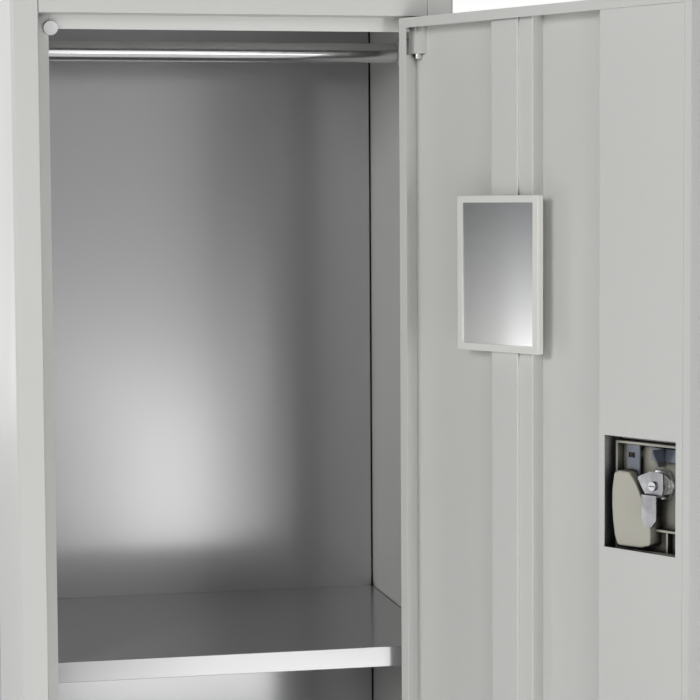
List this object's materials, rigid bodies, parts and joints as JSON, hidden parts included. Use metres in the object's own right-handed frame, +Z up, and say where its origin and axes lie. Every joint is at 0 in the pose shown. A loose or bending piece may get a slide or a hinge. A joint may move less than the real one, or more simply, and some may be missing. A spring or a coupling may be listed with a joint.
{
  "type": "locker cabinet",
  "caption": "Two-tier steel storage locker, one column wide, with hinged doors, shelves, hanging rails, door mirrors and key-locked recessed pull handles; shown with the upper door open.",
  "frame": {"origin": "middle of the base at floor level", "axes": "+Z up, +X to the right of someone facing the doors, +Y from the doors towards the back"},
  "size_m": [0.5065, 0.6384, 1.8],
  "materials": {
    "enamel": "light grey powder coat, satin",
    "mirror": "silvered glass",
    "mirror_trim": "smooth grey-white moulding",
    "handle_plastic": "satin cream moulding",
    "latch_steel": "blue-grey plated steel",
    "cam_steel": "plain plated steel",
    "lock_chrome": "polished",
    "rail_chrome": "bright plated tube",
    "zinc": "zinc plated",
    "bumper_rubber": "pale soft rubber",
    "nylon": "natural nylon",
    "socket_plastic": "pale moulded socket"
  },
  "bodies": {
    "case": {"left_side_panel": "enamel", "right_side_panel": "enamel", "back_panel": "enamel", "top_panel": "enamel", "tier_rail": "enamel", "tier_floor": "enamel", "base_rail": "enamel", "base_floor": "enamel", "base_frame": "enamel", "upper_shelf": "enamel", "lower_shelf": "enamel", "shelf_clips": "zinc", "upper_hanging_rail": "rail_chrome", "lower_hanging_rail": "rail_chrome", "rail_sockets": "socket_plastic", "corner_plates": "enamel", "door_bumpers": "bumper_rubber", "hinge_bushes": "nylon", "strike_plates": "zinc", "back_rivets": "zinc"},
    "upper_door": {"upper_door_panel": "enamel", "upper_door_stiffener": "enamel", "upper_lock_channel": "enamel", "upper_hinge_blocks": "enamel", "upper_hinge_pins": "zinc", "upper_mirror_frame": "mirror_trim", "upper_mirror_glass": "mirror", "upper_handle_housing": "handle_plastic", "upper_housing_clip": "latch_steel", "upper_lock_barrel": "lock_chrome", "upper_lock_nut": "zinc"},
    "upper_bolt": {"upper_latch_bolt": "latch_steel"},
    "upper_lock": {"upper_lock_plug": "lock_chrome", "upper_cam": "cam_steel", "upper_cam_screw": "zinc"},
    "lower_door": {"lower_door_panel": "enamel", "lower_door_stiffener": "enamel", "lower_lock_channel": "enamel", "lower_hinge_blocks": "enamel", "lower_hinge_pins": "zinc", "lower_mirror_frame": "mirror_trim", "lower_mirror_glass": "mirror", "lower_handle_housing": "handle_plastic", "lower_housing_clip": "latch_steel", "lower_lock_barrel": "lock_chrome", "lower_lock_nut": "zinc"},
    "lower_bolt": {"lower_latch_bolt": "latch_steel"},
    "lower_lock": {"lower_lock_plug": "lock_chrome", "lower_cam": "cam_steel", "lower_cam_screw": "zinc"}
  },
  "joints": [
    {"name": "upper_door_hinge", "type": "hinge", "parent": "case", "child": "upper_door", "pos_m": [0.1587, -0.171, 1.35], "axis": [0, 0, 1], "range_deg": [-118.6, 5.4]},
    {"name": "upper_bolt_slide", "type": "slide", "parent": "upper_door", "child": "upper_bolt", "axis": [0.4787, -0.878, 0], "range_m": [0, 0.0081]},
    {"name": "upper_lock_turn", "type": "hinge", "parent": "upper_door", "child": "upper_lock", "pos_m": [0.28842, -0.42146, 1.3895], "axis": [-0.878, -0.4787, 0], "range_deg": [-180, 0]},
    {"name": "lower_door_hinge", "type": "hinge", "parent": "case", "child": "lower_door", "pos_m": [0.1587, -0.171, 0.48], "axis": [0, 0, 1], "range_deg": [0, 124]},
    {"name": "lower_bolt_slide", "type": "slide", "parent": "lower_door", "child": "lower_bolt", "axis": [-1, 0, 0], "range_m": [0, 0.0081]},
    {"name": "lower_lock_turn", "type": "hinge", "parent": "lower_door", "child": "lower_lock", "pos_m": [-0.1233, -0.165, 0.5195], "axis": [0, 1, 0], "range_deg": [-180, 0]}
  ],
  "couplings": [
    {"joint": "upper_bolt_slide", "follows": "upper_lock_turn", "m_per_rad": -0.0025465},
    {"joint": "lower_bolt_slide", "follows": "lower_lock_turn", "m_per_rad": -0.0025465}
  ]
}
